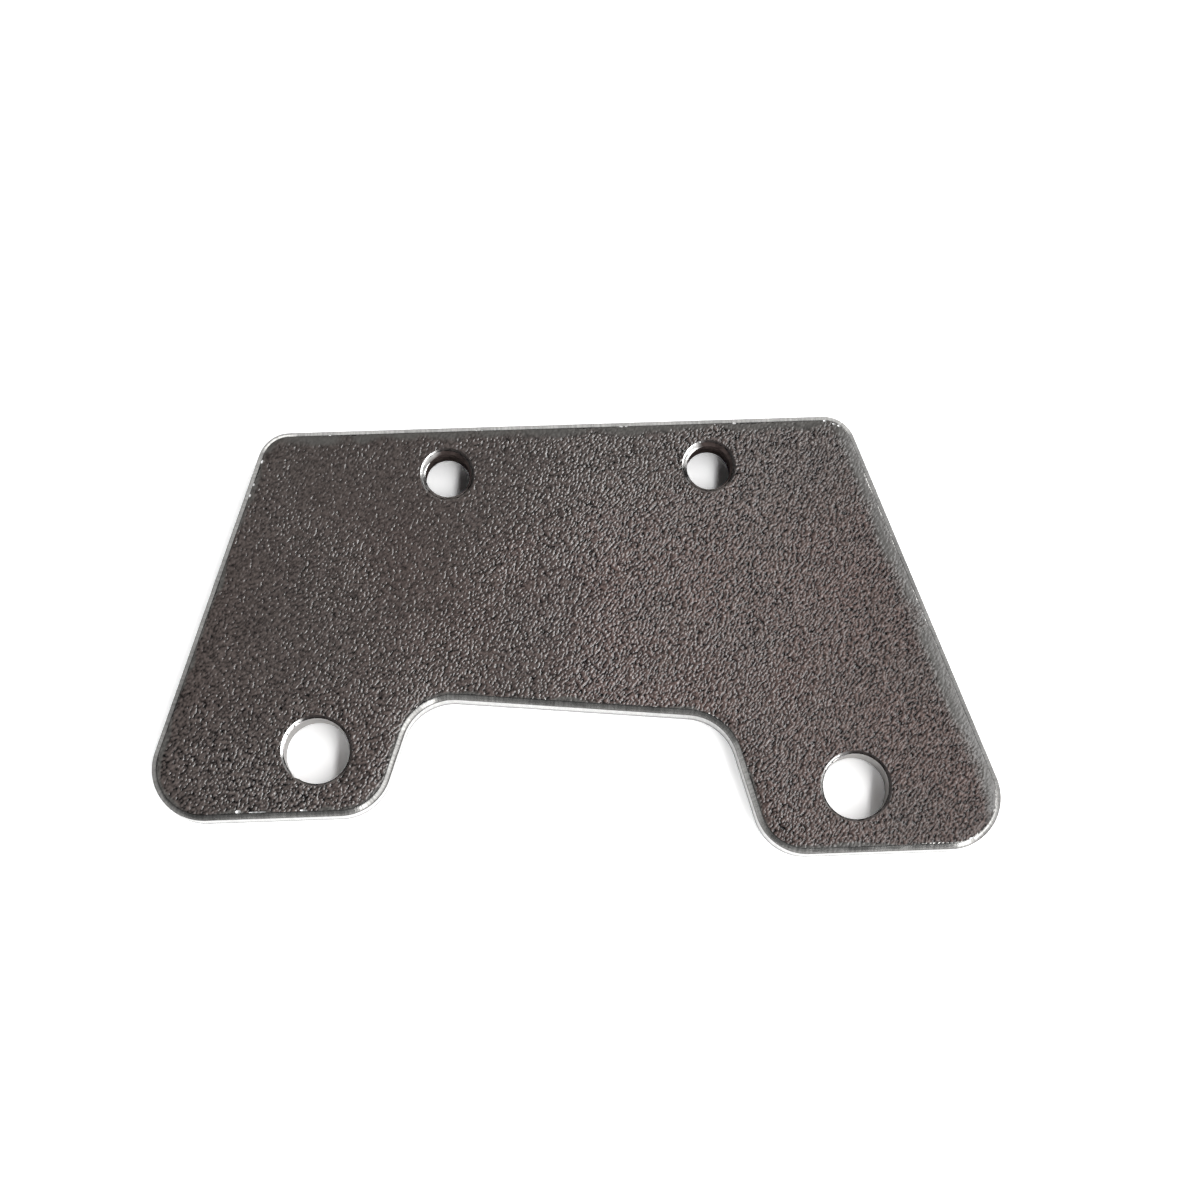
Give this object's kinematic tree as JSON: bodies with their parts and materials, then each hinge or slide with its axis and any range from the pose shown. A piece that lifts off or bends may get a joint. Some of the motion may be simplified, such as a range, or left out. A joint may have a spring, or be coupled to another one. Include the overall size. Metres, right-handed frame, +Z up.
{
  "type": "brake caliper bracket",
  "caption": "Flat steel plate bracket with tapped holes under a straight top edge, a notch between its feet and a plain bolt hole in each foot.",
  "frame": {"origin": "on the underside, midway between the axes of the two tapped holes", "axes": "+X along the tapped pair towards the side with the lower foot, +Y in the plane towards the straight top edge, +Z up through the thickness, out of the textured face"},
  "size_m": [0.1286, 0.0682, 0.006],
  "materials": {
    "plate": "dark orange-peel coating on the faces, bare bright metal on the chamfers, edges and hole walls"
  },
  "bodies": {
    "root": {"bracket_plate": "plate"}
  },
  "joints": []
}
